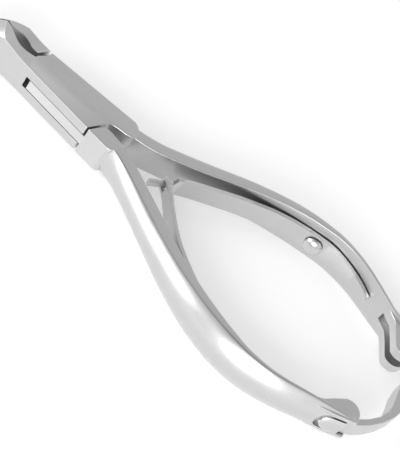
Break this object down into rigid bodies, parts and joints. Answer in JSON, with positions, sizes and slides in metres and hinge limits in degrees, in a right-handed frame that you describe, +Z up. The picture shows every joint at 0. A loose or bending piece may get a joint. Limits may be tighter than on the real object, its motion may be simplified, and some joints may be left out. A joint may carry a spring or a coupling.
{
  "type": "cuticle nipper",
  "caption": "Hand nipper with a slotted lap joint, slanted cutting jaws, bowed handles, a double leaf return spring and a swinging tail latch.",
  "frame": {"origin": "the pivot axis where it meets the flat underside of the head", "axes": "+X forward to the jaws, +Y to the left handle, +Z up along the pivot axis"},
  "size_m": [0.1238, 0.048, 0.0115],
  "materials": {
    "satin_steel": "satin",
    "spring_steel": "satin",
    "pin_steel": "satin"
  },
  "bodies": {
    "right_side": {"female_half": "satin_steel", "pivot_pin": "pin_steel", "right_leaf_seat": "spring_steel", "right_spring_rivet": "pin_steel"},
    "left_side": {"male_half": "satin_steel", "left_leaf_seat": "spring_steel", "left_spring_rivet": "pin_steel", "latch_pin": "pin_steel"},
    "right_leaf": {"right_leaf_blade": "spring_steel"},
    "left_leaf": {"left_leaf_blade": "spring_steel"},
    "latch": {"latch": "satin_steel"}
  },
  "joints": [
    {"name": "handle_pivot", "type": "hinge", "parent": "right_side", "child": "left_side", "pos_m": [0, 0, 0.004], "axis": [0, 0, 1], "range_deg": [-12, 0]},
    {"name": "right_leaf_flex", "type": "hinge", "parent": "right_side", "child": "right_leaf", "pos_m": [-0.05, -0.0169, 0.004], "axis": [0, 0, 1], "range_deg": [-0.5, 6]},
    {"name": "left_leaf_flex", "type": "hinge", "parent": "left_side", "child": "left_leaf", "pos_m": [-0.05, 0.0169, 0.004], "axis": [0, 0, 1], "range_deg": [-6, 0.5]},
    {"name": "latch_swing", "type": "hinge", "parent": "left_side", "child": "latch", "pos_m": [-0.0846, 0.0135, 0.004], "axis": [0, 0, 1], "range_deg": [-100, 0]}
  ],
  "couplings": [
    {"joint": "right_leaf_flex", "follows": "handle_pivot", "ratio": -0.45},
    {"joint": "left_leaf_flex", "follows": "handle_pivot", "ratio": 0.45}
  ]
}
